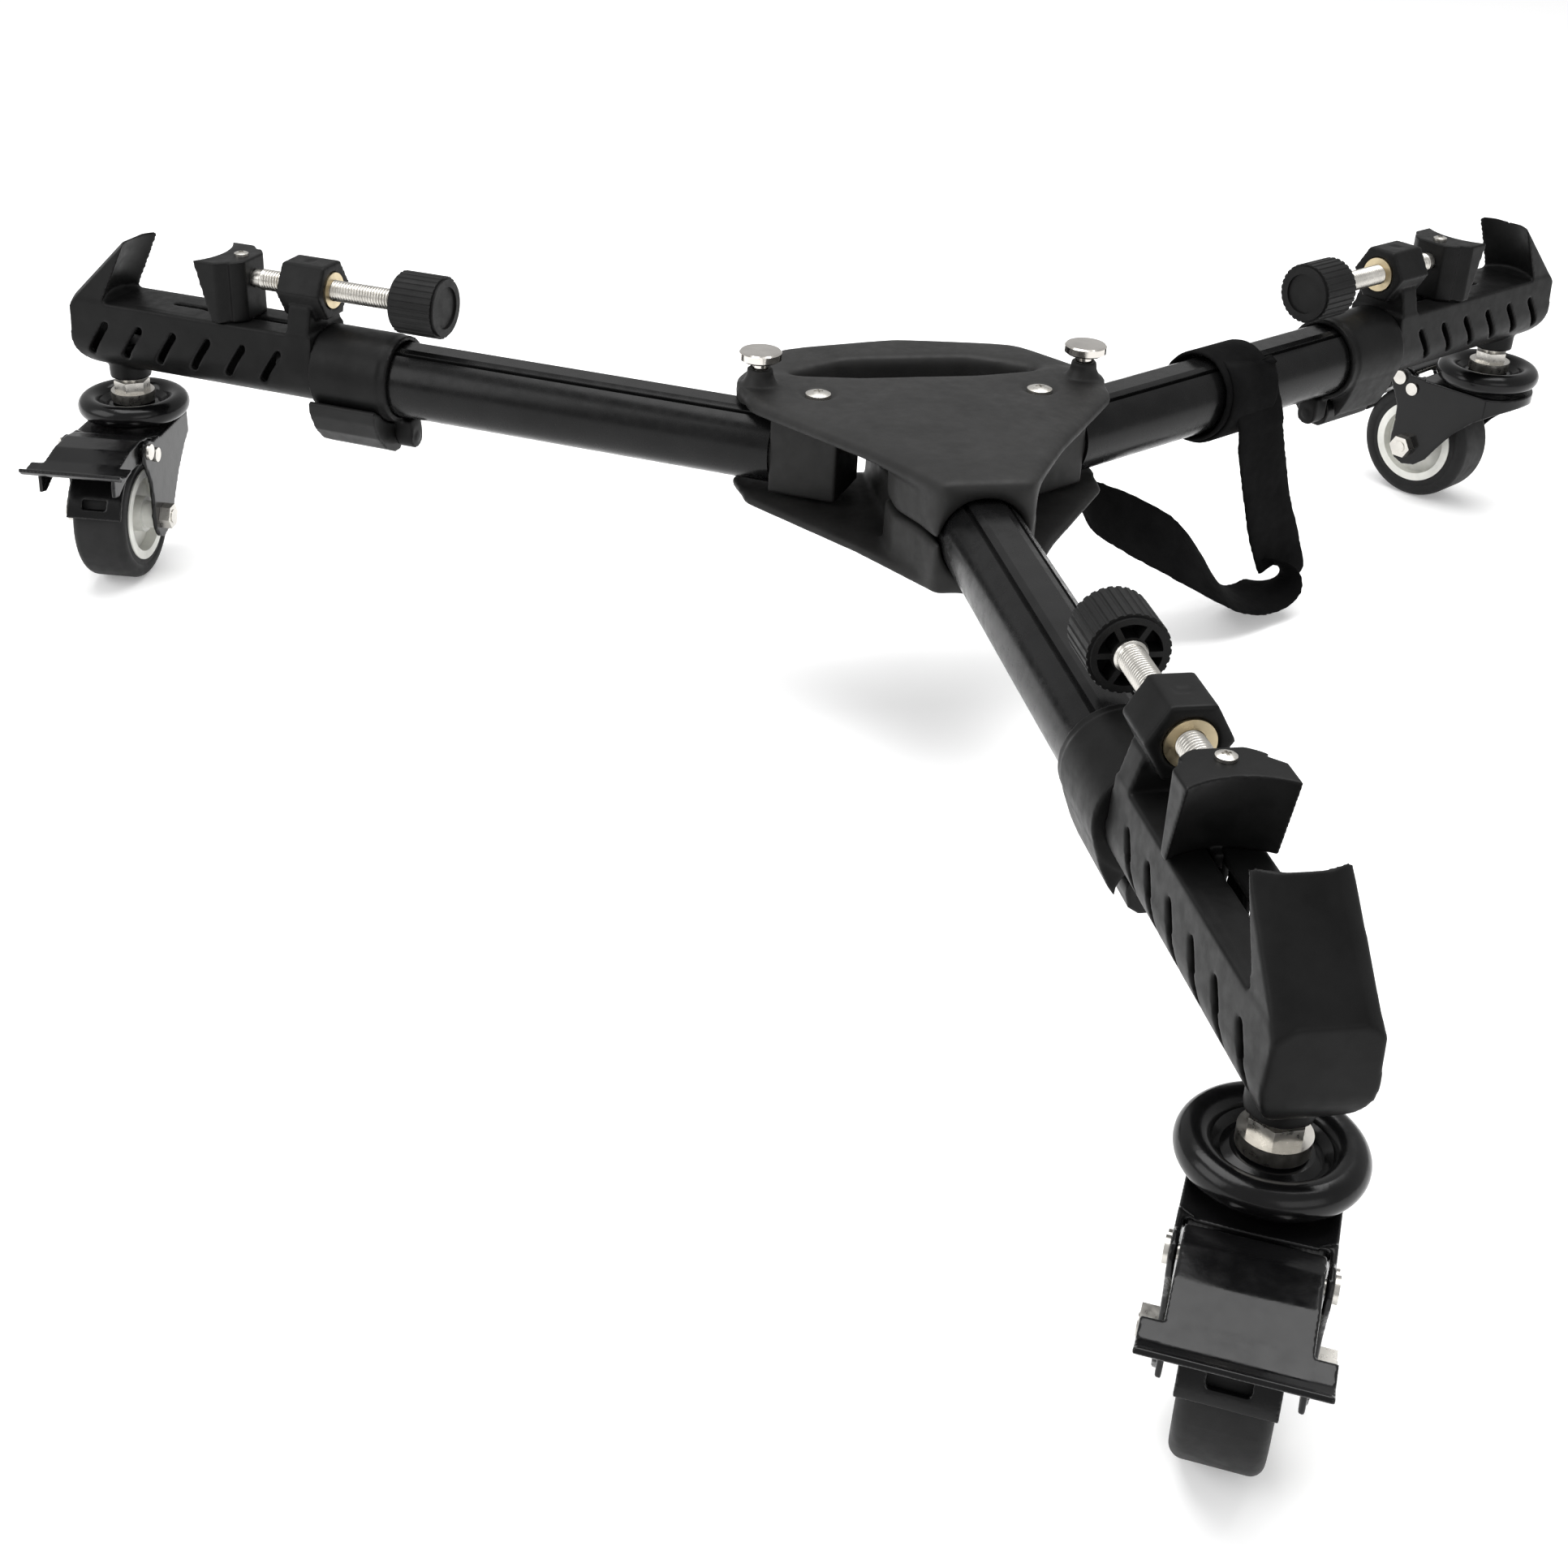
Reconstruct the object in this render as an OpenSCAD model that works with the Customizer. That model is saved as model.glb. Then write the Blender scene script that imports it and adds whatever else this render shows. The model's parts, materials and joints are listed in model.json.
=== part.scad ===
// Folding three-arm tripod dolly: moulded hub with carry handle, two folding
// arms and one fixed arm, telescoping clamp feet and braked swivel casters.
// Z is up, the wheels stand on z = 0, the front arm points along -Y.

/* [Frame] */
// distance of the hub axis from the footprint's centre, across
hub_x = 11.8; // [-20:0.1:20]
// distance of the hub axis from the footprint's centre, fore and aft
hub_y = 149.9; // [120:0.1:200]

/* [Arms] */
// height of the tube axis above the floor
axis_z = 138; // [136:1:142]
// outer radius of the arm tube
tube_r = 21; // [20.6:0.1:21.1]
// wall of the arm tube
tube_wall = 2.4; // [2:0.1:2.8]
// outer radius of the sliding inner tube
slider_r = 16; // [15.5:0.1:16]
// direction of the right arm above the X axis
arm_angle = 30; // [28:0.5:32]
// pivot of the folding arms, out from the hub axis
pivot_x = 59.4; // [59:0.2:61]
// pivot of the folding arms, behind the hub axis
pivot_y = 3.3; // [2:0.1:5]
// folding arm, from its pivot to the caster stem
side_reach = 429; // [420:1:440]
// fixed arm, from the hub axis to the caster stem
front_reach = 515; // [505:1:525]
// pivot to index plunger
plunger_reach = 32.6; // [31:0.1:34]

/* [Hub] */
// upper face of the hub
hub_top_z = 170; // [169:0.5:172]
// under face of the upper plate
slot_top_z = 160.6; // [160.4:0.1:161.5]
// upper face of the lower plate
slot_low_z = 115.2; // [114:0.1:115.4]
// half width of the nose
nose_half = 24.5; // [24:0.1:26]
// how far the nose reaches in front of the axis
nose_reach = 123; // [115:1:130]
// radius of the pivot bolts
pivot_r = 4; // [3.5:0.1:4.5]

/* [Foot] */
// height of the deck that a tripod foot stands on
deck_z = 160; // [158:0.5:162]
// outer radius of the rounded beam
beam_r = 20; // [19.5:0.1:20.5]
// wall of the beam
beam_wall = 3.2; // [2.8:0.1:3.4]
// number of slots on each side
slot_count = 6; // [4:1:6]
// distance between slots
slot_pitch = 23; // [22:0.5:23]
// width of a slot
slot_w = 4; // [3:0.5:5]
// top of the fixed hook
hook_top_z = 195.6; // [192:0.1:198]
// radius of the concave clamp faces
clamp_r = 36; // [34:1:40]
// height of the raised seat field on the deck
seat_rise = 0.2; // [0.1:0.05:0.25]

/* [Clamp screw] */
// height of the screw axis
screw_z = 183; // [182:0.5:184]
// radius over the thread
screw_r = 5.9; // [5.5:0.1:6]
// jaw tip from the caster stem, inwards
jaw_tip = 64.5; // [50:0.5:75]
// knob radius
knob_r = 17.2; // [16:0.1:18]
// knob length
knob_l = 28; // [24:1:30]

/* [Caster] */
// wheel radius
wheel_r = 38; // [37:0.5:38]
// tread width
tread_w = 31; // [28:1:32]
// swivel axis to axle
trail = 35; // [33:0.5:36]
// outer radius of the raceway cup
race_r = 32.3; // [31:0.1:33]
// distance between the fork plates
fork_gap = 46; // [45:0.5:47]
// thickness of the fork plates
fork_t = 2.5; // [2:0.1:3]
// swivel direction of the left caster
left_turn = -106; // [-180:1:180]
// swivel direction of the right caster
right_turn = 123; // [-180:1:180]
// swivel direction of the front caster
front_turn = -117; // [-180:1:180]

/* [Strap] */
// width of the strap
strap_w = 36; // [30:1:40]
// thickness of the strap
strap_t = 2.2; // [1.6:0.1:2.6]

/* [Hidden] */
$fn = 64;

// shared clearances
run = 0.08;
gap = 0.3;
// stations along an arm, from the caster stem, positive outwards
foot_in = -136.5;
collar_r = 24.7;
collar_out = -137;
collar_in = -180;
ring_in = -185.5;
boss_out = -115.2;
boss_in = -142.2;
tube_out = -140.5;
slider_in = -290;
lever_z = 105;
end_x = 24.3;
// pivot of the brake pedal, and the fork's second rivet, in the caster's frame
pedal_x = 46.5;
pedal_z = 82.5;
rivet_x = 36.5;
rivet_z = 77;
plastic = [0.09, 0.09, 0.09];
anodised = [0.12, 0.12, 0.13];
zinc = [0.78, 0.79, 0.80];
enamel = [0.05, 0.05, 0.055];

// ---------- placing ----------

// the frame of an arm: X outwards along the arm with 0 at the caster stem
module on_arm(side) {
  translate([hub_x, hub_y, 0]) {
    if (side == "front") rotate([0, 0, -90]) translate([front_reach, 0, 0]) children();
    if (side == "left") translate([-pivot_x, pivot_y, 0])
      rotate([0, 0, 180 - arm_angle]) translate([side_reach, 0, 0]) children();
    if (side == "right") translate([pivot_x, pivot_y, 0])
      rotate([0, 0, arm_angle]) translate([side_reach, 0, 0]) children();
  }
}

// the frame of a caster: X along the trail with 0 at the swivel axis
module on_caster(side) {
  a = side == "front" ? front_turn : side == "left" ? left_turn : right_turn;
  b = side == "front" ? -90 : side == "left" ? 180 - arm_angle : arm_angle;
  on_arm(side) rotate([0, 0, a - b]) children();
}

// the frame of the hub
module on_hub() {
  translate([hub_x, hub_y, 0]) children();
}

// a cylinder along X from x0 to x1
module rod_x(r, x0, x1, z = 0) {
  translate([x0, 0, z]) rotate([0, 90, 0]) cylinder(r = r, h = x1 - x0);
}

// a cylinder along Y, centred
module rod_y(r, l, x = 0, z = 0) {
  translate([x, l / 2, z]) rotate([90, 0, 0]) cylinder(r = r, h = l);
}

// extrudes a side view, drawn in X and Z, to a width centred on Y
module side_view(w) {
  translate([0, w / 2, 0]) rotate([90, 0, 0]) linear_extrude(w) children();
}

// extrudes a cross section, drawn in Y and Z, along X from x0 to x1
module along_arm(x0, x1) {
  translate([x0, 0, 0]) rotate([90, 0, 90]) linear_extrude(x1 - x0) children();
}

// pan-head screw with a plain cross recess, head down to z = 0
module pan_head(r, h, recess) {
  difference() {
    intersection() {
      cylinder(r = r, h = h);
      translate([0, 0, h - 2.2 * r]) sphere(r = 2.2 * r);
    }
    translate([0, 0, h - 0.9]) {
      translate([-recess / 2, -0.6, 0]) cube([recess, 1.2, 3]);
      translate([-0.6, -recess / 2, 0]) cube([1.2, recess, 3]);
    }
  }
}

// ---------- hub ----------

// plan of the hub from the nose to the wings, as one rounded slab
module hub_slab(z0, z1) {
  h = z1 - z0;
  hull() for (s = [-1, 1]) {
    translate([s * (nose_half - 5), 5 - nose_reach, z0]) cylinder(r = 5, h = h, $fn = 32);
    translate([s * 47, -68, z0]) cylinder(r = 6, h = h, $fn = 32);
  }
  hull() for (s = [-1, 1]) {
    translate([s * 47, -68, z0]) cylinder(r = 6, h = h, $fn = 32);
    translate([s * 85, 0, z0]) cylinder(r = 13, h = h, $fn = 32);
    translate([s * 86, 24, z0]) cylinder(r = 14, h = h, $fn = 32);
  }
}

// the block between the two arms' swept spaces, which carries the fixed tube
module hub_core(z0, z1) {
  translate([-28.5, -70, z0]) cube([57, 92, z1 - z0]);
  translate([0, 0, z0]) linear_extrude(z1 - z0) polygon([[-36.8, -62], [-36.8, -84],
    [-29, -103], [-nose_half, -nose_reach + 1], [nose_half, -nose_reach + 1], [29, -103],
    [36.8, -84], [36.8, -62]]);
}

// carry handle: a bow behind the wings with an open middle
module handle() {
  difference() {
    hull() {
      for (s = [-1, 1]) {
        translate([s * 84, 36, 138]) cylinder(r = 14, h = 29, $fn = 32);
        translate([s * 58, 65, 137]) cylinder(r = 18, h = 31, $fn = 32);
      }
      translate([0, 71.5, 137]) cylinder(r = 20, h = 32, $fn = 32);
    }
    hand_hole(120, 180);
    translate([-110, -20, 130]) cube([220, 50, 50]);
    for (s = [-1, 1]) arm_sweep(s);
  }
}

// the opening that the hand goes through
module hand_hole(z0, z1) {
  hull() {
    for (s = [-1, 1]) {
      translate([s * 62, 40, z0]) cylinder(r = 5, h = z1 - z0, $fn = 32);
      translate([s * 34, 50, z0]) cylinder(r = 8, h = z1 - z0, $fn = 32);
      translate([s * 30, 36, z0]) cylinder(r = 6, h = z1 - z0, $fn = 32);
    }
  }
}

// the space that a deployed arm's tube passes through, s = -1 for the left
module arm_sweep(s) {
  translate([s * pivot_x, pivot_y, axis_z]) rotate([0, 0, s > 0 ? arm_angle : 180 - arm_angle])
    rod_x(tube_r + 1.4, -10, 120);
}

// bores of the pivots and plungers through the upper shell
module hub_top_bores() {
  for (s = [-1, 1]) {
    translate([s * pivot_x, pivot_y, 150]) cylinder(r = pivot_r + 0.02, h = 40);
    translate([s * pivot_x, pivot_y, 167.2]) cylinder(r = 9.2, h = 10);
    plunger_at(s) {
      translate([0, 0, 150]) cylinder(r = 3 + run, h = 40);
      translate([0, 0, 171]) cylinder(r = 4 + run, h = 20);
    }
  }
}

module plunger_at(s) {
  translate([s * (pivot_x + plunger_reach * cos(arm_angle)),
    pivot_y + plunger_reach * sin(arm_angle), 0]) children();
}

module hub_top_shell() {
  color(plastic) on_hub() difference() {
    union() {
      hub_slab(slot_top_z, hub_top_z - 0.8);
      hub_core(axis_z, slot_top_z);
      translate([0, 0, hub_top_z - 0.8]) linear_extrude(0.8) polygon([[0, 23], [-49, -22],
        [-54, -50], [-22.5, -108], [22.5, -108], [54, -50], [49, -22]]);
      handle();
      for (s = [-1, 1]) plunger_at(s) {
        translate([0, 0, 168]) cylinder(r = 7, h = 10.4);
        translate([0, 0, 168]) cylinder(r = 8.6, h = 4);
      }
    }
    hand_hole(120, 180);
    hub_top_bores();
    translate([0, 0, axis_z]) rotate([90, 0, 0]) translate([0, 0, 20])
      cylinder(r = tube_r + 0.15, h = 200);
  }
}

module hub_bottom_shell() {
  color(plastic) on_hub() difference() {
    union() {
      hub_slab(111, slot_low_z);
      hub_core(slot_low_z - 0.5, axis_z - 0.05);
      translate([0, -70, axis_z]) rotate([90, 0, 0]) intersection() {
        cylinder(r = 29, h = nose_reach - 70);
        translate([-nose_half, -40, 0]) cube([2 * nose_half, 39.9, 60]);
      }
    }
    translate([-120, 29, 100]) cube([240, 40, 40]);
    translate([0, 0, axis_z]) rotate([90, 0, 0]) translate([0, 0, 20])
      cylinder(r = tube_r + 0.15, h = 200);
    for (s = [-1, 1]) translate([s * pivot_x, pivot_y, 100])
      cylinder(r = pivot_r + 0.02, h = 40);
  }
}

// pivot bolts with pan heads above and lock nuts below
module hub_bolts() {
  color(zinc) on_hub() for (s = [-1, 1]) translate([s * pivot_x, pivot_y, 0]) {
    translate([0, 0, 105]) cylinder(r = pivot_r, h = 62.5);
    translate([0, 0, 167.2]) pan_head(6.6, 3.4, 5);
    translate([0, 0, 106.5]) cylinder(r = 7.5, h = 4.4, $fn = 6);
  }
}

// ---------- arms ----------

// profile of the arm tube: round, with a flat rail between two grooves on top
module tube_profile() {
  difference() {
    circle(r = tube_r);
    circle(r = tube_r - tube_wall);
    translate([-9, tube_r - 0.9]) square([18, 3]);
    for (s = [-1, 1]) translate([s * 10.4 - 1.1, 16.6]) square([2.2, 6]);
  }
}

module arm_tube(x0) {
  color(anodised) translate([0, 0, axis_z]) along_arm(x0, tube_out) tube_profile();
}

// plastic root of a folding arm, turning on the pivot bolt
module arm_root(side) {
  x0 = -side_reach;
  color(plastic) on_arm(side) difference() {
    union() {
      translate([x0 - 18, -19, axis_z - 20.6]) cube([37.2, 38, 41.2]);
      rod_x(tube_r - tube_wall - 0.1, x0 + 10, x0 + 60, axis_z);
    }
    translate([x0, 0, 100]) cylinder(r = pivot_r + run, h = 80);
    translate([x0 + plunger_reach, 0, 148]) cylinder(r = 3.2, h = 30);
  }
}

module front_tube() {
  on_hub() rotate([0, 0, -90]) translate([front_reach, 0, 0]) arm_tube(-front_reach + 26);
}

module side_tube(side) {
  color(anodised) on_arm(side) difference() {
    arm_tube(-side_reach + 19.4);
    translate([-side_reach + plunger_reach, 0, 150]) cylinder(r = 3.2, h = 30);
  }
}

// clamp collar on the tube's end, with the hinge ear and pin of its flip lock
module collar(side) {
  color(plastic) on_arm(side) {
    difference() {
      union() {
        rod_x(collar_r, collar_in, collar_out, axis_z);
        rod_x(23.4, ring_in, collar_in + 1, axis_z);
        rod_x(24.2, ring_in, collar_in - 0.8, axis_z);
        hull() {
          translate([ring_in - 4, -6.5, 108]) cube([collar_in - ring_in + 3.4, 13, 10]);
          rod_x(6.6, ring_in - 6, collar_in - 0.6, lever_z);
        }
        along_arm(collar_in + 0.6, collar_out - 0.8) lug_profile();
      }
      rod_x(tube_r + 0.15, ring_in - 1, tube_out + 0.2, axis_z);
      rod_x(slider_r + run, tube_out - 1, collar_out + 1, axis_z);
      translate([ring_in - 8, -9, axis_z - 22.4]) cube([7.9, 18, 12]);
    }
    rod_x(2.5, ring_in - 6.6, collar_out - 2, lever_z);
  }
}

// cross section of the lug beside the lever's hinge
module lug_profile() {
  difference() {
    polygon([[-24, 134], [-22.6, 127], [-18.6, 116], [-14.4, 107.4], [-11.6, 103.6],
      [-8, 105], [-6, 115], [-15, 124]]);
    translate([0, lever_z]) circle(r = 11.5);
  }
}

// flip-lock lever, wrapping under the collar from its hinge to its free edge
module lever(side) {
  color(plastic) on_arm(side) difference() {
    along_arm(collar_in + 0.6, collar_out - 0.8) difference() {
      union() {
        translate([0, lever_z]) circle(r = 7.2);
        polygon([[-7.2, lever_z], [-5.6, 98], [-1, 94.8], [4, 95], [14, 100], [22, 108.5],
          [26.4, 118], [27, 125], [24.4, 125.4], [17, 120], [9, 114], [3, 111.5]]);
      }
      translate([0, axis_z]) circle(r = collar_r + 0.5);
    }
    rod_x(2.5 + run, ring_in, collar_out + 5, lever_z);
  }
}

// ---------- foot ----------

// cross section of the beam, t mm inside its outer face
module beam_profile(t) {
  x = beam_r - t;
  top = deck_z - 1.25 * t;
  translate([0, axis_z]) circle(r = x);
  polygon([[2 - x, axis_z - 4], [x - 2, axis_z - 4], [x - 0.2, axis_z + 3], [x - 1.4, top],
    [1.4 - x, top], [0.2 - x, axis_z + 3]]);
}

// side view of the beam's rounded outer end
module end_profile() {
  translate([foot_in - 1, 100]) square([-foot_in + 9, 70]);
  translate([7, axis_z - 3]) square([end_x - 7, 21]);
  translate([end_x - 17, axis_z - 3]) circle(r = 17);
  polygon([[5, 150], [end_x, 150], [end_x, 154], [23, 157.4], [21, 159.5], [16, 166],
    [5, 166]]);
}

// a gutter-shaped wall: convex outside and concave inside, both leaning
module hook() {
  intersection() {
    side_view(2 * (beam_r - 1)) polygon([[-1, deck_z - 4], [-1, deck_z], [-19.6, hook_top_z],
      [-11, hook_top_z], [31.5, 154], [30, 150], [8, deck_z - 6]]);
    // outer face, bowed outwards
    translate([23.2, 0, 157]) rotate([0, -136.6, 0]) translate([-30, 0, 26.35])
      rod_x(32.2, 0, 110);
    side_view(60) polygon([[-30, 150], [end_x, 150], [end_x, 200], [-30, 200]]);
    // the flanks taper to the top
    along_arm(-40, 40) polygon([[-19.4, 140], [19.4, 140], [18.2, 158], [17.6, 200],
      [-17.6, 200], [-18.2, 158]]);
  }
}

// the concave inner face of the hook
module hook_face() {
  translate([0, 0, deck_z]) rotate([0, -27.6, 0])
    translate([6.2 - clamp_r, 0, 0.3]) cylinder(r = clamp_r, h = 70);
}

// threaded boss on its post, on top of the foot's inner end
module boss() {
  translate([boss_in, 0, screw_z]) rotate([0, 90, 0]) rotate([0, 0, 30])
    cylinder(r = 17.3, h = 27, $fn = 6);
  along_arm(foot_in + 1.5, foot_in + 15.5) polygon([[-beam_r + 1, deck_z - 12],
    [-beam_r + 1.6, deck_z], [-14.5, screw_z - 8], [14.5, screw_z - 8], [beam_r - 1.6, deck_z],
    [beam_r - 1, deck_z - 12]]);
}

module foot(side) {
  color(plastic) on_arm(side) difference() {
    union() {
      intersection() {
        along_arm(foot_in, end_x) beam_profile(0);
        side_view(60) end_profile();
      }
      difference() {
        hook();
        hook_face();
      }
      boss();
      translate([-58, -14, deck_z - 1]) cube([50, 28, 1 + seat_rise]);
      translate([0, 0, 111.5]) cylinder(r = 12, h = 12);
    }
    // hollow of the beam, and the socket of the inner tube
    difference() {
      along_arm(-112, 14.3) beam_profile(beam_wall);
      translate([0, 0, 100]) cylinder(r = 11.4, h = 33);
    }
    rod_x(slider_r + 0.03, foot_in - 1, -111, axis_z);
    // guide slot of the jaw
    translate([-112, -2.2, deck_z - 8]) cube([76, 4.4, 13]);
    // side slots
    for (k = [0 : slot_count - 1]) slant_slot(-k * slot_pitch);
    // screw insert, and the small pocket on top of the boss
    rod_x(10, boss_in - 1, boss_out + 1, screw_z);
    translate([-131, -3.5, 197.4]) cube([5, 7, 2]);
    // caster stem
    translate([0, 0, 100]) cylinder(r = 6.05, h = 30);
  }
}

// one slot through both sides, leaning outwards at its lower end
module slant_slot(x) {
  translate([x + 0.2, 0, 147.2]) rotate([0, -34, 0]) {
    rod_y(slot_w / 2, 60);
    rod_y(slot_w / 2, 60, 0, -20);
    translate([-slot_w / 2, -30, -20]) cube([slot_w, 60, 20]);
  }
}

// inner tube that carries the foot
module slider(side) {
  color(anodised) on_arm(side) difference() {
    rod_x(slider_r, slider_in, -111.3, axis_z);
    rod_x(slider_r - 2, slider_in - 1, -110, axis_z);
  }
}

// brass-coloured threaded insert of the boss
module insert(side) {
  color([0.72, 0.62, 0.45]) on_arm(side) difference() {
    rod_x(9.97, boss_in - 0.6, boss_out + 0.6, screw_z);
    rod_x(screw_r + run, boss_in - 2, boss_out + 2, screw_z);
  }
}

// ---------- clamp jaw and screw ----------

module jaw(side) {
  x0 = -jaw_tip;
  color(plastic) on_arm(side) translate([x0 - 24, -1.8, deck_z - 5]) cube([13, 3.6, 6]);
  color(plastic) on_arm(side) difference() {
    intersection() {
      // plan, with a rounded back
      translate([0, 0, deck_z + 0.35]) linear_extrude(34.6) union() {
        intersection() {
          translate([x0 - 8.5, 0]) circle(r = 20.7);
          translate([x0 - 27, -17]) square([20, 34]);
        }
        translate([x0 - 20, -20.7]) square([24, 41.4]);
      }
      // side view, leaning out at the top
      side_view(50) polygon([[x0 - 28, deck_z], [x0 - 9.5, deck_z], [x0, 195], [x0, 196],
        [x0 - 28, 196]]);
    }
    // concave face
    translate([x0 - 10.2, 0, deck_z - 2]) rotate([0, 15.5, 0])
      translate([clamp_r - 6.4, 0, 0]) cylinder(r = clamp_r, h = 60);
    // neck of the screw, and the retaining screw from above
    rod_x(4.5 + run, x0 - 30, x0 - 13, screw_z);
    translate([x0 - 19, 0, 189]) cylinder(r = 2.05, h = 10);
    // chamfered heel corners
    for (s = [-1, 1]) translate([x0 - 20, s * 20.7, 150]) rotate([0, 0, 45])
      translate([-4, -4, 0]) cube([8, 8, 60]);
  }
}

module jaw_screw(side) {
  color(zinc) on_arm(side) translate([-jaw_tip - 19, 0, 0]) {
    translate([0, 0, 189.2]) cylinder(r = 2, h = 6);
    translate([0, 0, 195]) pan_head(4, 2.3, 3.6);
  }
}

module screw(side) {
  x0 = -jaw_tip;
  color(zinc) on_arm(side) {
    rod_x(4.5, x0 - 28, x0 - 14, screw_z);
    rod_x(screw_r, x0 - 118.5, x0 - 28, screw_z);
    rod_x(7, x0 - 120, x0 - 118.5, screw_z);
    rod_x(4, x0 - 140, x0 - 120, screw_z);
  }
}

module knob(side) {
  x0 = -jaw_tip - 120.2 - knob_l;
  color(plastic) on_arm(side) difference() {
    union() {
      rod_x(knob_r, x0 + 1.5, x0 + knob_l - 1.5, screw_z);
      rod_x(knob_r - 1.5, x0, x0 + knob_l, screw_z);
    }
    rod_x(4.03, x0 + 8, x0 + knob_l + 1, screw_z);
    rod_x(11.5, x0 - 1, x0 + 1.2, screw_z);
    // hollow back, with the hub of the knob left standing
    difference() {
      rod_x(knob_r - 4, x0 + knob_l - 9, x0 + knob_l + 1, screw_z);
      rod_x(7.6, x0 + knob_l - 10, x0 + knob_l + 2, screw_z);
      for (a = [0, 60, 120]) translate([x0 + knob_l - 9.5, 0, screw_z]) rotate([a, 0, 0])
        translate([0, -knob_r, -1.2]) cube([9.5, 2 * knob_r, 2.4]);
    }
    for (k = [0 : 29]) translate([x0, 0, screw_z]) rotate([k * 12, 0, 0])
      translate([0, 0, knob_r + 0.35]) rod_x(0.9, -1, knob_l + 2);
  }
}

// ---------- caster ----------

// stem bolt with its nut and black spacer
module stem(side) {
  color(zinc) on_caster(side) {
    translate([0, 0, 95]) cylinder(r = 6, h = 34);
    translate([0, 0, 102.4]) cylinder(r = 10.4, h = 6.4, $fn = 6);
    translate([0, 0, 96.5]) cylinder(r = 12.6, h = 5.9);
  }
}

// dished cup over the swivel balls
module raceway(side) {
  color(enamel) on_caster(side) difference() {
    translate([0, 0, 94]) rotate_extrude() {
      translate([race_r - 6.5, 0]) circle(r = 6.5);
      polygon([[7, -5.5], [race_r - 6.5, -6.5], [race_r - 6.5, 5], [race_r - 9, 6],
        [17, -0.5], [14, 1], [7, 2.2]]);
    }
    translate([0, 0, 80]) cylinder(r = 6.1, h = 40);
  }
}

// side view of the fork, from its rear skirt down to the axle and up to the pivot ear
module fork_side() {
  polygon([[-31, 86], [-31, 79], [-21, 74], [-9, 66], [3, 54.5], [12, 42.5], [19, 32],
    [26, 26.4], [35, 24.4], [42, 27.5], [46, 34], [46.4, 42], [45.4, 52], [46, 62],
    [49, 69.5], [53, 77], [53.4, 84], [50, 88.4], [44, 88.8], [39, 86]]);
}

// plan of the fork, t mm inside its outer face: round under the raceway, straight beside it
module fork_plan(t) {
  w = fork_gap / 2 + fork_t - t;
  intersection() {
    union() {
      circle(r = 30.6 - t);
      translate([0, -w]) square([70, 2 * w]);
    }
    translate([-40, -w]) square([120, 2 * w]);
  }
}

// pressed fork: a bell with a round rear skirt and two straight side plates
module fork(side) {
  color(enamel) on_caster(side) difference() {
    intersection() {
      translate([0, 0, 20]) linear_extrude(70) fork_plan(0);
      side_view(80) fork_side();
    }
    translate([0, 0, 10]) linear_extrude(72) fork_plan(fork_t);
    // the ears stand free above the top plate
    translate([0, 0, 85]) cylinder(r = 38, h = 10);
    translate([33, -fork_gap / 2, 70]) cube([40, fork_gap, 30]);
    translate([0, 0, 70]) cylinder(r = 6.4, h = 20);
    rod_y(4, 80, trail, wheel_r);
    rod_y(2.5, 80, pedal_x, pedal_z);
    rod_y(2.5, 80, rivet_x, rivet_z);
  }
}

// wheel axle with its lock nuts, the pedal's pin and the rivets of the fork
module axle(side) {
  face = fork_gap / 2 + fork_t + 0.1;
  color(zinc) on_caster(side) {
    rod_y(3.97, 2 * face + 13.4, trail, wheel_r);
    rod_y(2.47, 2 * face + 0.8, pedal_x, pedal_z);
    for (s = [-1, 1]) {
      rivet_head(trail, s * face, wheel_r, s, 7.5, 6.2, 6);
      rivet_head(pedal_x, s * face, pedal_z, s, 4.6, 1.6, 48);
      rivet_head(rivet_x, s * face, rivet_z, s, 4.2, 1.4, 48);
      translate([rivet_x, s * (face - fork_t / 2), rivet_z]) rod_y(2.47, fork_t);
    }
  }
}

// a nut or rivet head standing on the outside of a fork plate
module rivet_head(x, y, z, s, r, h, sides) {
  translate([x, y, z]) rotate([s > 0 ? -90 : 90, 0, 0]) cylinder(r = r, h = h, $fn = sides);
}

module tyre(side) {
  color(plastic) on_caster(side) translate([trail, tread_w / 2, wheel_r]) rotate([90, 0, 0])
    rotate_extrude() difference() {
      union() {
        translate([27, 0.8]) square([7, tread_w - 1.6]);
        translate([27, 5]) square([wheel_r - 27, tread_w - 10]);
        for (y = [5, tread_w - 5]) translate([wheel_r - 5, y]) circle(r = 5);
      }
      translate([0, -1]) square([27, tread_w + 2]);
    }
}

// wheel centre, pressed inside the tyre
module core(side) {
  color([0.72, 0.72, 0.70]) on_caster(side) translate([trail, 0, wheel_r]) rotate([90, 0, 0])
    difference() {
      union() {
        translate([0, 0, -tread_w / 2]) cylinder(r = 26.95, h = tread_w);
        translate([0, 0, -fork_gap / 2 + 0.4]) cylinder(r = 8, h = fork_gap - 0.8);
      }
      translate([0, 0, -30]) cylinder(r = 3.97 + run, h = 60);
      for (s = [-1, 1]) translate([0, 0, s * tread_w / 2]) difference() {
        translate([0, 0, -7]) cylinder(r = 22, h = 14);
        translate([0, 0, -8]) cylinder(r = 10.5, h = 16);
      }
    }
}

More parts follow.
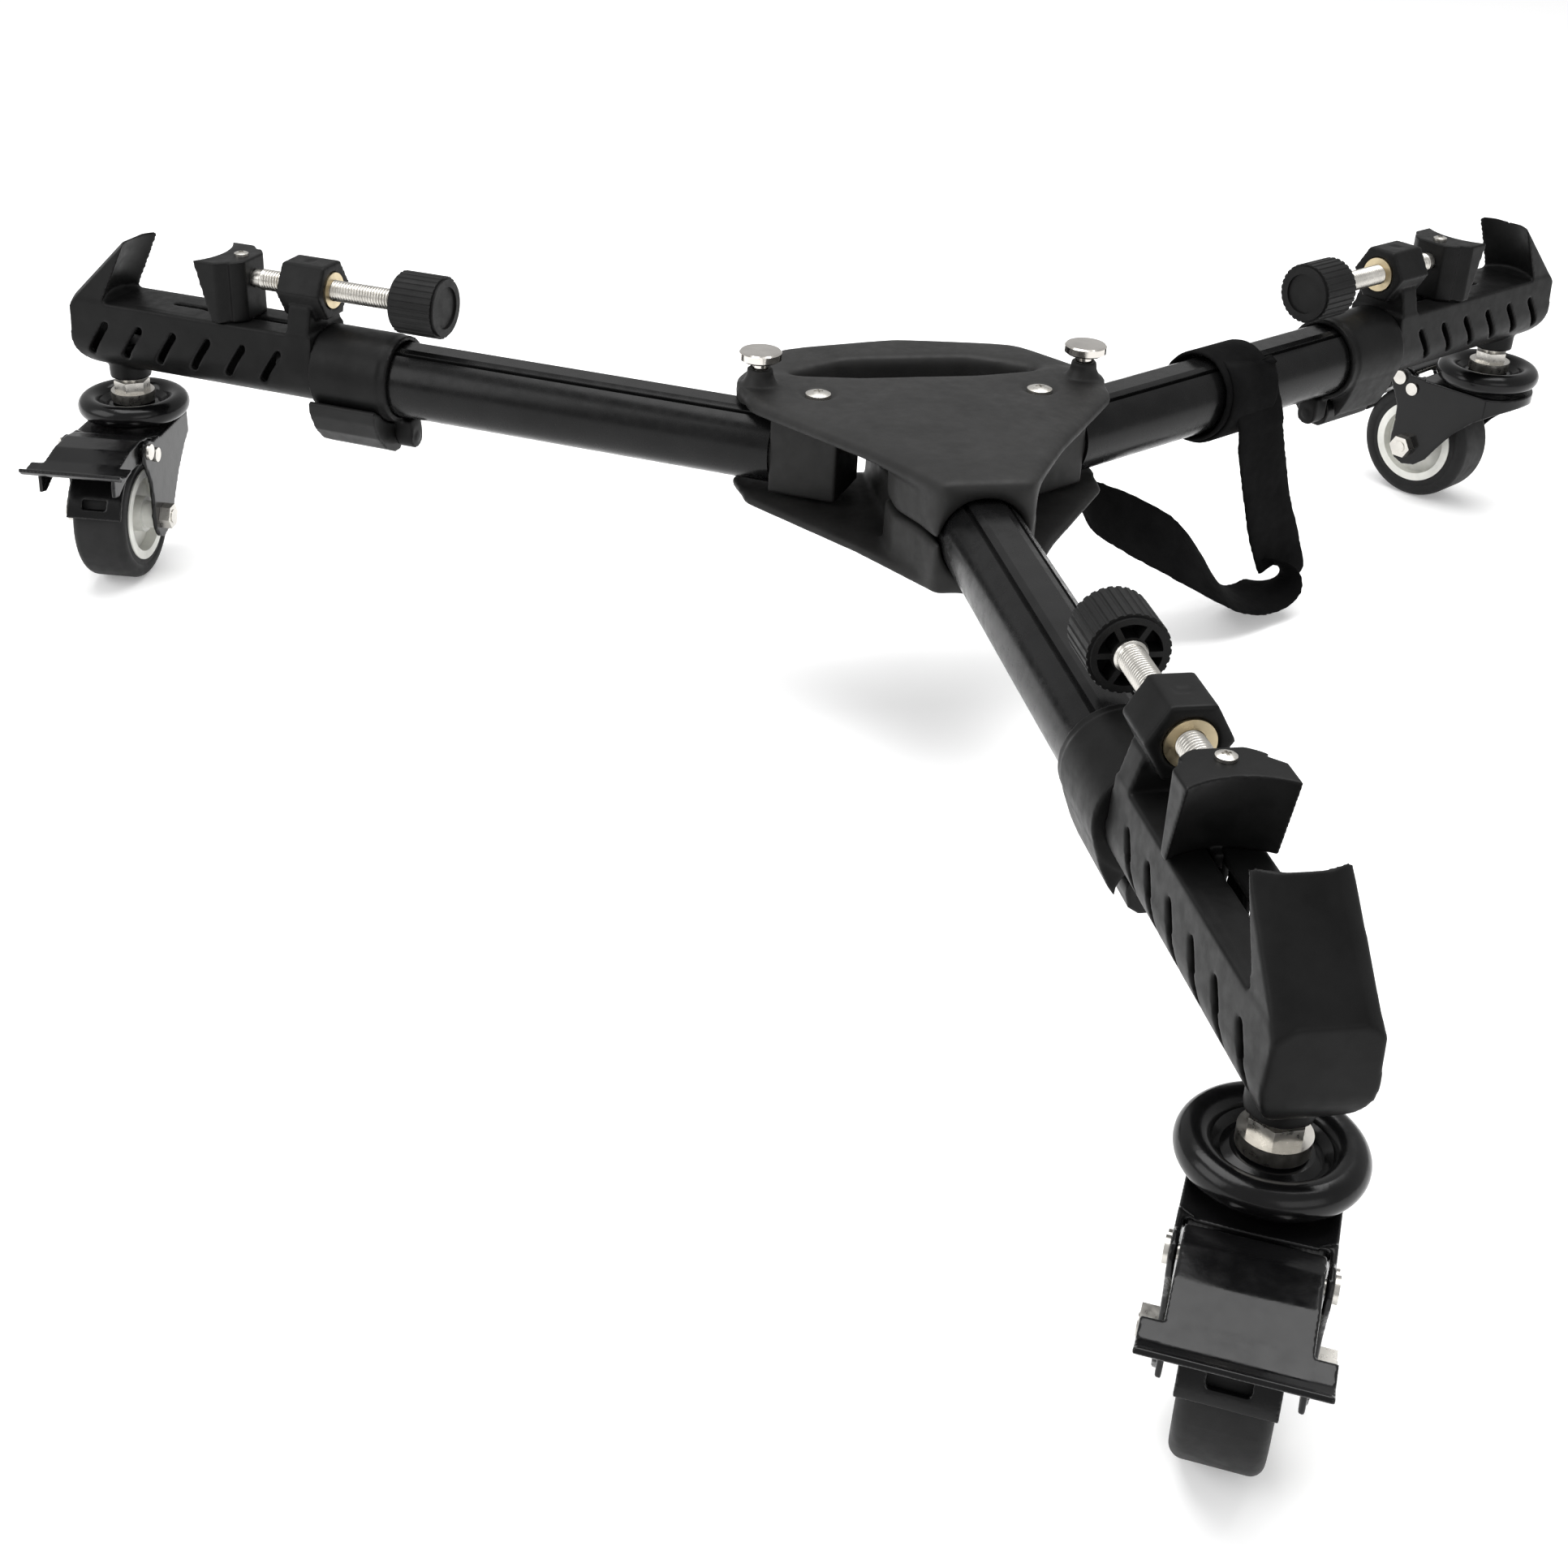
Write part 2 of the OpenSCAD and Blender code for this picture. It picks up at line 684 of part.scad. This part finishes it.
// brake pedal: pressed plate with two flanges, a lip and the shoe over the tread
module pedal(side) {
  w = fork_gap - 1.4;
  color(enamel) on_caster(side) difference() {
    union() {
      // tread plate and lip
      side_view(w) polygon([[39, 88.6], [50, 90.2], [66, 89.6], [80, 86.6], [92, 85],
        [92, 82.8], [80, 84.4], [66, 87.4], [50, 88], [39, 86.4]]);
      side_view(59) polygon([[82, 86.2], [91, 85], [96, 86.2], [98.6, 88.6], [100, 87],
        [97, 84], [91, 82.8], [82, 84]]);
      // flanges
      for (s = [-1, 1]) translate([0, s * (w / 2 - 1), 0]) side_view(2)
        polygon([[39, 87.5], [50, 89], [66, 88.5], [80, 85.5], [91, 84], [92, 72], [86, 70.4],
          [78, 74], [66, 77.5], [56, 77.5], [52, 76], [44, 76.6], [40, 80]]);
      shoe(w - 12);
    }
    rod_y(2.47 + run, 80, pedal_x, pedal_z);
    translate([66, -7, 55]) cube([20, 14, 5]);
  }
}

// curved shoe around the tread, hung from the pedal plate
module shoe(w) {
  intersection() {
    translate([trail, w / 2, wheel_r]) rotate([90, 0, 0]) difference() {
      cylinder(r = wheel_r + 4, h = w);
      translate([0, 0, -1]) cylinder(r = wheel_r + 1.8, h = w + 2);
    }
    side_view(w) polygon([[trail, wheel_r], [104, 58], [104, 76], [68, 90]]);
  }
  side_view(w) polygon([[57.6, 71.4], [60.8, 70], [64, 88.4], [61, 88.6]]);
}

// ---------- plungers ----------

module plunger(s) {
  color([0.85, 0.84, 0.82]) on_hub() plunger_at(s) {
    translate([0, 0, 159.2]) cylinder(r = 3, h = 16);
    translate([0, 0, 172]) cylinder(r = 4, h = 11);
    translate([0, 0, 182]) rotate_extrude() {
      polygon([[0, 0], [9.6, 0], [11.2, 1.2], [11.2, 4.6], [10.4, 5.4], [0, 5.6]]);
    }
  }
}

// ---------- strap ----------

module strap_wrap() {
  color([0.04, 0.04, 0.04]) on_arm("right") difference() {
    union() {
      rod_x(tube_r + 0.4 + strap_t, -side_reach + 128, -side_reach + 128 + strap_w, axis_z);
      rod_x(tube_r + 0.4 + 2 * strap_t, -side_reach + 130, -side_reach + 124 + strap_w, axis_z);
    }
    rod_x(tube_r + 0.35, -side_reach + 120, -side_reach + 180, axis_z);
  }
}

// one cross section of the hanging strap: its place, the turn of its width, its lean
module strap_bar(p, a, b) {
  translate(p) rotate([0, 0, a]) rotate([b, 0, 0])
    translate([-strap_w / 2, -strap_t / 2, -0.3]) cube([strap_w, strap_t, 0.6]);
}

module strap_loop() {
  color([0.04, 0.04, 0.04]) on_hub() {
    hull() { strap_bar([208, 61.5, 112], 30, 0); strap_bar([229, 73, 64], 30, 0); }
    hull() { strap_bar([229, 73, 64], 30, 0); strap_bar([247, 84, 24], 35, 0); }
    hull() { strap_bar([247, 84, 24], 35, 0); strap_bar([238, 72, 5], 60, 75); }
    hull() { strap_bar([238, 72, 5], 60, 75); strap_bar([206, 49, 12], 80, 65); }
    hull() { strap_bar([206, 49, 12], 80, 65); strap_bar([156, 40, 57], 88, 50); }
    hull() { strap_bar([156, 40, 57], 88, 50); strap_bar([78, 12, 107.5], 92, 60); }
  }
}

// ---------- what is drawn ----------

hub_top_shell();
hub_bottom_shell();
hub_bolts();
front_tube();
collar("front");  // front_collar
arm_root("left");  // left_root
side_tube("left");  // left_tube
collar("left");  // left_collar
arm_root("right");  // right_root
side_tube("right");  // right_tube
collar("right");  // right_collar
strap_wrap();
strap_loop();
plunger(-1);  // left_plunger
plunger(1);  // right_plunger
foot("front");  // front_foot
slider("front");  // front_slider
insert("front");  // front_insert
stem("front");  // front_stem
raceway("front");  // front_raceway
foot("left");  // left_foot
slider("left");  // left_slider
insert("left");  // left_insert
stem("left");  // left_stem
raceway("left");  // left_raceway
foot("right");  // right_foot
slider("right");  // right_slider
insert("right");  // right_insert
stem("right");  // right_stem
raceway("right");  // right_raceway
lever("front");  // front_lever
lever("left");  // left_lever
lever("right");  // right_lever
jaw("front");  // front_jaw
jaw("left");  // left_jaw
jaw("right");  // right_jaw
jaw_screw("front");  // front_jaw_screw
jaw_screw("left");  // left_jaw_screw
jaw_screw("right");  // right_jaw_screw
screw("front");  // front_screw
screw("left");  // left_screw
screw("right");  // right_screw
knob("front");  // front_knob
knob("left");  // left_knob
knob("right");  // right_knob
fork("front");  // front_fork
fork("left");  // left_fork
fork("right");  // right_fork
axle("front");  // front_axle
axle("left");  // left_axle
axle("right");  // right_axle
tyre("front");  // front_tyre
tyre("left");  // left_tyre
tyre("right");  // right_tyre
core("front");  // front_core
core("left");  // left_core
core("right");  // right_core
pedal("front");  // front_pedal
pedal("left");  // left_pedal
pedal("right");  // right_pedal
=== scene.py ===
import json
import math
import random

import bmesh
import bpy
from mathutils import Matrix, Vector


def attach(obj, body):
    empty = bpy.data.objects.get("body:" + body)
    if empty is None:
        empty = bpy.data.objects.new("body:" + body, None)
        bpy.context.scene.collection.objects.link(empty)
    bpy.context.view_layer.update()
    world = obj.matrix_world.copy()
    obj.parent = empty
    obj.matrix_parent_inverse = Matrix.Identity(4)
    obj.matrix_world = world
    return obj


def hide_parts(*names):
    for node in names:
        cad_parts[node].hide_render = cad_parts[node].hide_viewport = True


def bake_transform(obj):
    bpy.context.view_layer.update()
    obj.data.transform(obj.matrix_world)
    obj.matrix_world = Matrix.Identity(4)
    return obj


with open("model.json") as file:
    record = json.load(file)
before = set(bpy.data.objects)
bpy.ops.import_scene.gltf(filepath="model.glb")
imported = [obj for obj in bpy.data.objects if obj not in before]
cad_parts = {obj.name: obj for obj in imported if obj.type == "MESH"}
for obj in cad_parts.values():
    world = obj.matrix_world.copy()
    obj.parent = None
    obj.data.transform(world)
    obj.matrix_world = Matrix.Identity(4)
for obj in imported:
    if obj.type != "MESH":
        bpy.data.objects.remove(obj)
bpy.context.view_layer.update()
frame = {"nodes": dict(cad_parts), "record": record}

NODES = frame["nodes"]
SIDES = ("front", "left", "right")
HUB = Vector((0.0118, 0.1499, 0))
MM = 0.001
SIDE_REACH = 0.429
TUBE_Z = 0.138
SCREW_Z = 0.183


# ---------- where things are ----------

def arm_matrix(side):
    """The arm's own frame: X outwards from the caster stem, Y to its left."""
    base, turn, reach = {
        "front": ((0, 0), -90, 0.515),
        "left": ((-0.0594, 0.0033), 150, SIDE_REACH),
        "right": ((0.0594, 0.0033), 30, SIDE_REACH),
    }[side]
    place = Matrix.Translation(HUB + Vector((base[0], base[1], 0)))
    return place @ Matrix.Rotation(math.radians(turn), 4, "Z") @ Matrix.Translation((reach, 0, 0))


# ---------- camera, floor and light ----------

def look_from():
    cam = bpy.data.objects.new("camera", bpy.data.cameras.new("camera"))
    bpy.context.scene.collection.objects.link(cam)
    bpy.context.scene.camera = cam
    forward = Vector((0.1485, 0.8689, -0.4722)).normalized()
    right = forward.cross(Vector((0, 0, 1))).normalized()
    up = right.cross(forward)
    roll = 0.036
    right_r = right * math.cos(roll) + up * math.sin(roll)
    up_r = up * math.cos(roll) - right * math.sin(roll)
    cam.matrix_world = Matrix((
        (right_r.x, up_r.x, -forward.x, HUB.x - 0.2717),
        (right_r.y, up_r.y, -forward.y, HUB.y - 1.0345),
        (right_r.z, up_r.z, -forward.z, 0.5529),
        (0, 0, 0, 1),
    ))
    cam.data.sensor_width = 36
    cam.data.lens = 49.32
    cam.data.shift_x = 0.0276
    cam.data.shift_y = -0.0522
    cam.data.clip_start = 0.05


look_from()


def area_light(name, place, target, size, power):
    data = bpy.data.lights.new(name, "AREA")
    data.shape = "RECTANGLE"
    data.size, data.size_y = size
    data.energy = power
    lamp = bpy.data.objects.new(name, data)
    lamp.location = place
    lamp.rotation_mode = "QUATERNION"
    lamp.rotation_quaternion = (Vector(target) - Vector(place)).to_track_quat("-Z", "Y")
    bpy.context.scene.collection.objects.link(lamp)


def studio():
    world = bpy.data.worlds.new("studio")
    bpy.context.scene.world = world
    world.use_nodes = True
    back = world.node_tree.nodes["Background"]
    back.inputs["Color"].default_value = (1, 1, 1, 1)
    back.inputs["Strength"].default_value = 0.62
    area_light("over", (0.0, 0.3, 1.9), (0, 0, 0.1), (2.2, 1.4), 46)
    area_light("left_bank", (-1.9, -0.2, 1.1), (0, 0, 0.1), (1.4, 1.2), 16)
    area_light("front_fill", (0.5, -2.0, 1.0), (0, 0, 0.1), (1.6, 1.0), 7)
    mesh = bpy.data.meshes.new("floor")
    mesh.from_pydata([(-9, -9, 0), (9, -9, 0), (9, 9, 0), (-9, 9, 0)], [], [(0, 1, 2, 3)])
    floor = bpy.data.objects.new("floor", mesh)
    floor.location.z = -0.0004
    bpy.context.scene.collection.objects.link(floor)
    mat = bpy.data.materials.new("floor")
    mat.use_nodes = True
    shader = mat.node_tree.nodes["Principled BSDF"]
    shader.inputs["Base Color"].default_value = (0.93, 0.93, 0.93, 1)
    shader.inputs["Roughness"].default_value = 0.9
    shader.inputs["Emission Color"].default_value = (1, 1, 1, 1)
    shader.inputs["Emission Strength"].default_value = 0.22
    mesh.materials.append(mat)
    bpy.context.scene.view_settings.view_transform = "Standard"


studio()


# ---------- materials ----------

class Nodes:
    """Small helper for building a node tree."""

    def __init__(self, name):
        self.mat = bpy.data.materials.new(name)
        self.mat.use_nodes = True
        self.tree = self.mat.node_tree
        self.shader = self.tree.nodes["Principled BSDF"]

    def add(self, kind):
        return self.tree.nodes.new(kind)

    def link(self, a, b):
        self.tree.links.new(a, b)

    def noise(self, scale, detail, rough=0.55):
        place = self.add("ShaderNodeTexCoord").outputs["Object"]
        n = self.add("ShaderNodeTexNoise")
        n.inputs["Scale"].default_value = scale
        n.inputs["Detail"].default_value = detail
        n.inputs["Roughness"].default_value = rough
        self.link(place, n.inputs["Vector"])
        return n.outputs["Fac"]

    def ramp(self, fac, stops):
        r = self.add("ShaderNodeValToRGB")
        els = r.color_ramp.elements
        while len(els) < len(stops):
            els.new(0.5)
        for e, (pos, col) in zip(els, stops):
            e.position = pos
            e.color = (*col, 1)
        self.link(fac, r.inputs["Fac"])
        return r.outputs["Color"]

    def span(self, fac, lo, hi, a, b):
        m = self.add("ShaderNodeMapRange")
        m.inputs["From Min"].default_value = a
        m.inputs["From Max"].default_value = b
        m.inputs["To Min"].default_value = lo
        m.inputs["To Max"].default_value = hi
        self.link(fac, m.inputs["Value"])
        return m.outputs["Result"]

    def bump(self, height, strength, distance):
        b = self.add("ShaderNodeBump")
        b.inputs["Strength"].default_value = strength
        b.inputs["Distance"].default_value = distance
        self.link(height, b.inputs["Height"])
        return b.outputs["Normal"]


def moulded(name, colour, rough, grain, grain_depth, spec=0.5):
    """Moulded black plastic: fine spark texture, slight tone and gloss variation."""
    n = Nodes(name)
    tone = n.noise(45, 4)
    dark = tuple(c * 0.82 for c in colour)
    light = tuple(min(1, c * 1.25 + 0.002) for c in colour)
    n.link(n.ramp(tone, [(0.3, dark), (0.7, light)]), n.shader.inputs["Base Color"])
    n.link(n.span(n.noise(160, 3), rough - 0.06, rough + 0.07, 0.3, 0.7),
           n.shader.inputs["Roughness"])
    fine = n.noise(grain, 2, 0.6)
    n.link(n.bump(fine, 0.5, grain_depth), n.shader.inputs["Normal"])
    n.shader.inputs["Specular IOR Level"].default_value = spec
    return n.mat


def metal(name, colour, rough, streak):
    """Bare metal: slight tone and gloss variation and a fine grain."""
    n = Nodes(name)
    tone = n.noise(70, 5)
    dark = tuple(c * 0.8 for c in colour)
    n.link(n.ramp(tone, [(0.3, dark), (0.7, colour)]), n.shader.inputs["Base Color"])
    n.shader.inputs["Metallic"].default_value = 1.0
    n.link(n.span(n.noise(streak, 3), rough - 0.06, rough + 0.1, 0.3, 0.7),
           n.shader.inputs["Roughness"])
    n.link(n.bump(n.noise(900, 2), 0.15, 0.00006), n.shader.inputs["Normal"])
    return n.mat


MAT = {
    "hub_plastic": moulded("hub_plastic", (0.0110, 0.0108, 0.0105), 0.52, 2600, 0.00010, 0.20),
    "moulding": moulded("moulding", (0.0042, 0.0042, 0.0042), 0.42, 3200, 0.00005, 0.11),
    "lever_plastic": moulded("lever_plastic", (0.0060, 0.0060, 0.0060), 0.42, 3000, 0.00007, 0.16),
    "knob_plastic": moulded("knob_plastic", (0.0050, 0.0050, 0.0050), 0.50, 3000, 0.00008, 0.16),
    "tube_black": moulded("tube_black", (0.0030, 0.0030, 0.0031), 0.24, 5200, 0.00001, 0.16),
    "inner_tube": moulded("inner_tube", (0.006, 0.006, 0.006), 0.28, 5200, 0.00001, 0.25),
    "zinc_steel": metal("zinc_steel", (0.62, 0.60, 0.56), 0.30, 300),
    "insert_brass": metal("insert_brass", (0.62, 0.52, 0.34), 0.36, 300),
    "chrome_knob": metal("chrome_knob", (0.66, 0.63, 0.59), 0.14, 200),
    "black_steel": moulded("black_steel", (0.0022, 0.0022, 0.0024), 0.20, 500, 0.00006, 0.24),
    "tread_rubber": moulded("tread_rubber", (0.0090, 0.0090, 0.0092), 0.55, 1800, 0.00006, 0.18),
    "core_plastic": moulded("core_plastic", (0.62, 0.62, 0.58), 0.42, 2000, 0.00003),
    "strap_fabric": moulded("strap_fabric", (0.0022, 0.0022, 0.0023), 0.9, 1500, 0.0002, 0.06),
}

for item in frame["record"]["subparts"]:
    slots = NODES[item["node"]].data.materials
    slots.clear()
    slots.append(MAT[item["material_slot"]])


# ---------- making pieces ----------

def piece(name, verts, faces, slot, body, replaces):
    mesh = bpy.data.meshes.new(name)
    mesh.from_pydata([tuple(v) for v in verts], [], faces)
    bm = bmesh.new()
    bm.from_mesh(mesh)
    bmesh.ops.recalc_face_normals(bm, faces=bm.faces)
    bm.to_mesh(mesh)
    bm.free()
    for poly in mesh.polygons:
        poly.use_smooth = True
    mesh.materials.append(MAT[slot])
    obj = bpy.data.objects.new(name, mesh)
    bpy.context.scene.collection.objects.link(obj)
    if body:
        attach(obj, body)
    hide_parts(*replaces)
    return obj


def lathe(rows, around, place, radius):
    """Turns (x, r) rows about the X axis, with radius(x, r, angle), and closes both ends."""
    verts, faces = [], []
    for x, r in rows:
        for k in range(around):
            a = 2 * math.pi * k / around
            rr = radius(x, r, a)
            verts.append(place @ Vector((x, rr * math.cos(a), rr * math.sin(a))))
    for i in range(len(rows) - 1):
        for k in range(around):
            n = (k + 1) % around
            faces.append((i * around + k, i * around + n, (i + 1) * around + n,
                          (i + 1) * around + k))
    last = (len(rows) - 1) * around
    faces.append(tuple(range(around)))
    faces.append(tuple(last + k for k in range(around)))
    return verts, faces


def soften(node, voxel, rounds):
    """Rounds a moulded part's edges, as a mould does, without changing the CAD mesh."""
    obj = NODES[node]
    remesh = obj.modifiers.new("remesh", "REMESH")
    remesh.mode = "VOXEL"
    remesh.voxel_size = voxel
    remesh.use_smooth_shade = True
    smooth = obj.modifiers.new("smooth", "SMOOTH")
    smooth.factor = 0.5
    smooth.iterations = rounds


def rounded(node, name, voxel, all_over, broad, sharp_spots):
    """Replaces a moulded shell by a finer copy whose outer edges have a broad radius.

    Every vertex gets all_over rounds of smoothing. Those away from the sharp spots, each a point
    and a radius seen from above, get broad further rounds.
    """
    source = NODES[node]
    copy = bpy.data.objects.new(name + "_draft", source.data.copy())
    copy.matrix_world = source.matrix_world
    bpy.context.scene.collection.objects.link(copy)
    remesh = copy.modifiers.new("remesh", "REMESH")
    remesh.mode = "VOXEL"
    remesh.voxel_size = voxel
    bpy.context.view_layer.update()
    graph = bpy.context.evaluated_depsgraph_get()
    mesh = bpy.data.meshes.new_from_object(copy.evaluated_get(graph))
    mesh.transform(source.matrix_world)
    bm = bmesh.new()
    bm.from_mesh(mesh)
    for _ in range(all_over):
        bmesh.ops.smooth_vert(bm, verts=bm.verts, factor=0.5,
                              use_axis_x=True, use_axis_y=True, use_axis_z=True)
    soft = [v for v in bm.verts
            if all((v.co.xy - spot.xy).length > reach for spot, reach in sharp_spots)]
    for _ in range(broad):
        bmesh.ops.smooth_vert(bm, verts=soft, factor=0.5,
                              use_axis_x=True, use_axis_y=True, use_axis_z=True)
    bm.verts.index_update()
    verts = [v.co.copy() for v in bm.verts]
    faces = [tuple(v.index for v in f.verts) for f in bm.faces]
    bm.free()
    bpy.data.objects.remove(copy)
    bpy.data.meshes.remove(mesh)
    piece(name, verts, faces, "hub_plastic", "hub", replaces=(node,))


# ---------- moulded parts ----------

PIVOT = Vector((59.4, 3.3, 0)) * MM
PLUNGER = Vector((87.6, 19.6, 0)) * MM
SCREW_SPOTS = [(HUB + Vector((s * at.x, at.y, 0)), reach * MM)
               for s in (-1, 1) for at, reach in ((PIVOT, 12), (PLUNGER, 12))]
rounded("hub_top_shell", "hub_top_rounded", 0.0011, 8, 60, SCREW_SPOTS)
rounded("hub_bottom_shell", "hub_bottom_rounded", 0.0011, 6, 16, SCREW_SPOTS)
for side in SIDES:
    soften(side + "_foot", 0.0009, 5)
    soften(side + "_jaw", 0.0007, 5)
    soften(side + "_collar", 0.0009, 4)
    soften(side + "_lever", 0.0007, 5)
    soften(side + "_fork", 0.0008, 4)
    soften(side + "_pedal", 0.0006, 5)
for side in ("left", "right"):
    soften(side + "_root", 0.0010, 5)


# ---------- clamp screws ----------

THREAD_PITCH = 1.75 * MM
THREAD_DEPTH = 0.95 * MM
THREAD_FADE = 2 * MM
ROWS_PER_TURN = 7
JAW_TIP = -64.5 * MM
WASHER_R = 7.0
THREAD_R = 5.9
SHANK_R = 5.2
NECK_R = 4.45


def clamp_screw(side):
    """One clamp screw's washer, thread, shank and neck. The pitch is the stock one for M12."""
    start, end = JAW_TIP - 120 * MM, JAW_TIP - 14 * MM
    thread_a, thread_b = start + 1.6 * MM, JAW_TIP - 33 * MM
    steps = int((end - start) / (THREAD_PITCH / ROWS_PER_TURN))
    rows = []
    for i in range(steps + 1):
        x = start + (end - start) * i / steps
        if x < start + 1.5 * MM:
            r = WASHER_R
        elif x > JAW_TIP - 28 * MM:
            r = NECK_R
        elif x > thread_b + 0.5 * MM:
            r = SHANK_R
        else:
            r = THREAD_R
        rows.append((x, r * MM))
    rows = [(start, 0.5 * MM)] + rows + [(end, 0.5 * MM)]

    def radius(x, r, a):
        if not thread_a < x < thread_b:
            return r
        fade = min(1, (x - thread_a) / THREAD_FADE, (thread_b - x) / THREAD_FADE)
        phase = (x / THREAD_PITCH - a / (2 * math.pi)) % 1
        groove = 1 - abs(2 * phase - 1)
        groove = min(1, max(0, groove * 1.35 - 0.15))
        return r - THREAD_DEPTH * groove * fade

    place = arm_matrix(side) @ Matrix.Translation((0, 0, SCREW_Z))
    verts, faces = lathe(rows, 32, place, radius)
    piece(side + "_thread", verts, faces, "zinc_steel", side + "_screw",
          replaces=(side + "_screw",))


for side in SIDES:
    clamp_screw(side)


# ---------- strap ----------

def smooth_path(points, per):
    """Catmull-Rom through points of any dimension."""
    pts = [points[0]] + list(points) + [points[-1]]
    out = []
    for i in range(1, len(pts) - 2):
        p0, p1, p2, p3 = (Vector(p) for p in pts[i - 1:i + 3])
        for k in range(per):
            t = k / per
            out.append(0.5 * ((2 * p1) + (p2 - p0) * t + (2 * p0 - 5 * p1 + 4 * p2 - p3) * t * t
                              + (3 * p1 - p0 - 3 * p2 + p3) * t ** 3))
    out.append(Vector(pts[-2]))
    return out


STRAP_W = 38 * MM
STRAP_T = 2.2 * MM
STRAP_TURNS = 1.62
STRAP_RUFFLE = 0.35 * MM
WRAP_POINTS = 90
WRAP_START = math.radians(-8)


def strap():
    """Hook-and-loop strap: wound round the right tube, then hanging in a loop to the hub."""
    arm = arm_matrix("right")
    root = -SIDE_REACH
    places, widths = [], []
    for i in range(WRAP_POINTS):
        t = i / (WRAP_POINTS - 1)
        a = WRAP_START - t * STRAP_TURNS * 2 * math.pi
        r = (23.3 + 2.9 * t) * MM
        slant = 5 * MM * math.sin(a)
        p = Vector((root + (145 + 6 * t) * MM + slant * 0.6, r * math.cos(a),
                    TUBE_Z + r * math.sin(a)))
        places.append(arm @ p)
        widths.append((arm.to_3x3() @ Vector((1, 0, 0))).normalized())
    hang = [
        ((root + 0.158, -0.0262, 0.128), (1, 0, 0.08)),
        ((root + 0.162, -0.0262, 0.112), (1, 0, 0.25)),
        ((root + 0.172, -0.0250, 0.088), (1, 0, 0.42)),
        ((root + 0.186, -0.0230, 0.058), (1, 0, 0.52)),
        ((root + 0.203, -0.0210, 0.030), (1, 0, 0.55)),
    ]
    route = [(arm @ Vector(p), arm.to_3x3() @ Vector(w)) for p, w in hang]
    loop = [
        ((0.2480, 0.0830, 0.0200), (0.50, 0.80, 0.20)),
        ((0.2390, 0.0740, 0.0120), (-0.10, 0.98, 0.10)),
        ((0.2210, 0.0640, 0.0105), (-0.38, 0.92, 0.05)),
        ((0.2040, 0.0540, 0.0190), (-0.30, 0.93, 0.20)),
        ((0.1880, 0.0460, 0.0330), (-0.10, 0.90, 0.42)),
        ((0.1580, 0.0400, 0.0580), (0.12, 0.72, 0.68)),
        ((0.1290, 0.0380, 0.0750), (0.10, 0.74, 0.66)),
        ((0.1060, 0.0330, 0.0880), (0.10, 0.86, 0.48)),
        ((0.0900, 0.0260, 0.1010), (0.12, 0.99, 0.10)),
        ((0.0740, 0.0180, 0.1090), (0.10, 0.99, 0.0)),
        ((0.0560, 0.0120, 0.1096), (0.10, 0.99, 0.0)),
    ]
    route += [(HUB + Vector(p), Vector(w)) for p, w in loop]
    ease = smooth_path([list(places[-1])] + [list(p) for p, _ in route], 12)
    ways = smooth_path([list(widths[-1])] + [list(w) for _, w in route], 12)
    places += ease[1:]
    widths += ways[1:]
    rim = [(-0.5, 0), (-0.49, 0.35), (-0.46, 0.5), (-0.25, 0.5), (0, 0.5), (0.25, 0.5), (0.46, 0.5),
           (0.49, 0.35), (0.5, 0), (0.49, -0.35), (0.46, -0.5), (0.25, -0.5), (0, -0.5),
           (-0.25, -0.5), (-0.46, -0.5), (-0.49, -0.35)]
    verts, faces, length = [], [], 0
    rng = random.Random(5)
    for i, p in enumerate(places):
        ahead = places[min(i + 1, len(places) - 1)] - places[max(i - 1, 0)]
        ahead.normalize()
        w = widths[i] - ahead * widths[i].dot(ahead)
        w.normalize()
        out = ahead.cross(w)
        if i:
            length += (p - places[i - 1]).length
        left = rng.uniform(-1, 1) * STRAP_RUFFLE
        right = rng.uniform(-1, 1) * STRAP_RUFFLE
        for u, v in rim:
            edge = left if u < -0.45 else right if u > 0.45 else 0
            verts.append(p + w * (u * STRAP_W + edge) + out * (v * STRAP_T))
    n = len(rim)
    for i in range(len(places) - 1):
        for k in range(n):
            m = (k + 1) % n
            faces.append((i * n + k, i * n + m, (i + 1) * n + m, (i + 1) * n + k))
    faces.append(tuple(range(n)))
    faces.append(tuple((len(places) - 1) * n + k for k in range(n)))
    obj = piece("strap", verts, faces, "strap_fabric", None,
                replaces=("strap_wrap", "strap_loop"))
    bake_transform(obj)


strap()
